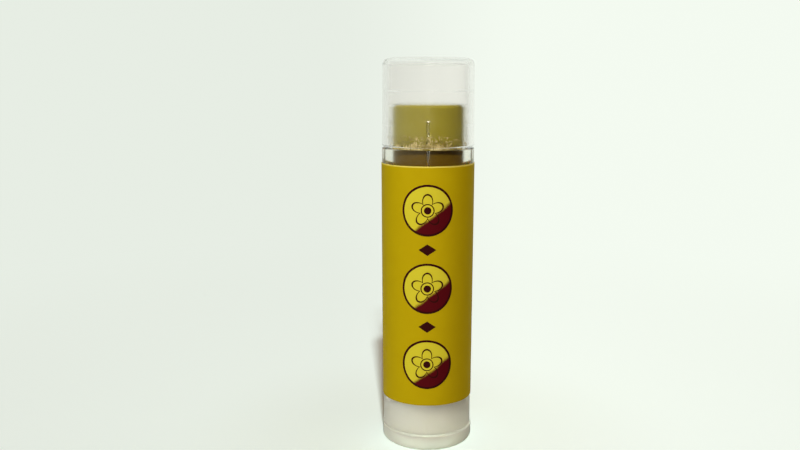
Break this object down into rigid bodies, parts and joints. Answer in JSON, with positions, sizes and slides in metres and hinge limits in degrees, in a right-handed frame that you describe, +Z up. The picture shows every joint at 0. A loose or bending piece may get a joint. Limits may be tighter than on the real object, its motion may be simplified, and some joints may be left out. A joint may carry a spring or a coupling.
{
  "type": "lip balm stick",
  "caption": "Twist-up lip balm stick: clear cap, clear barrel with a wrapped label, balm on a screw-driven cup, turning wheel at the foot.",
  "frame": {"origin": "centre of the foot of the wheel, on the surface that the stick stands on", "axes": "+Z up along the stick, from the wheel to the cap; -Y is the side that the picture shows; the label's lap is at +Y"},
  "size_m": [0.0162, 0.0163, 0.068],
  "materials": {
    "clear_plastic": "clear polypropylene, smooth, slightly hazy",
    "natural_plastic": "natural polypropylene, satin, milky",
    "label_film": "printed mustard film, satin",
    "balm_wax": "olive yellow wax, soft sheen"
  },
  "bodies": {
    "barrel": {"barrel": "clear_plastic", "label": "label_film"},
    "wheel": {"dial_spindle": "clear_plastic"},
    "stick": {"elevator_cup": "natural_plastic", "balm": "balm_wax"},
    "cap": {"cap": "clear_plastic"}
  },
  "joints": [
    {"name": "wheel_turn", "type": "hinge", "parent": "barrel", "child": "wheel", "pos_m": [0, 0, 0], "axis": [0, 0, 1], "range_deg": [0, 600]},
    {"name": "stick_rise", "type": "slide", "parent": "barrel", "child": "stick", "axis": [0, 0, 1], "range_m": [0, 0.00667]},
    {"name": "cap_pull", "type": "slide", "parent": "barrel", "child": "cap", "axis": [0, 0, 1], "range_m": [0, 0.025]}
  ],
  "couplings": [
    {"joint": "wheel_turn", "follows": "stick_rise", "rad_per_m": 1570.8}
  ]
}
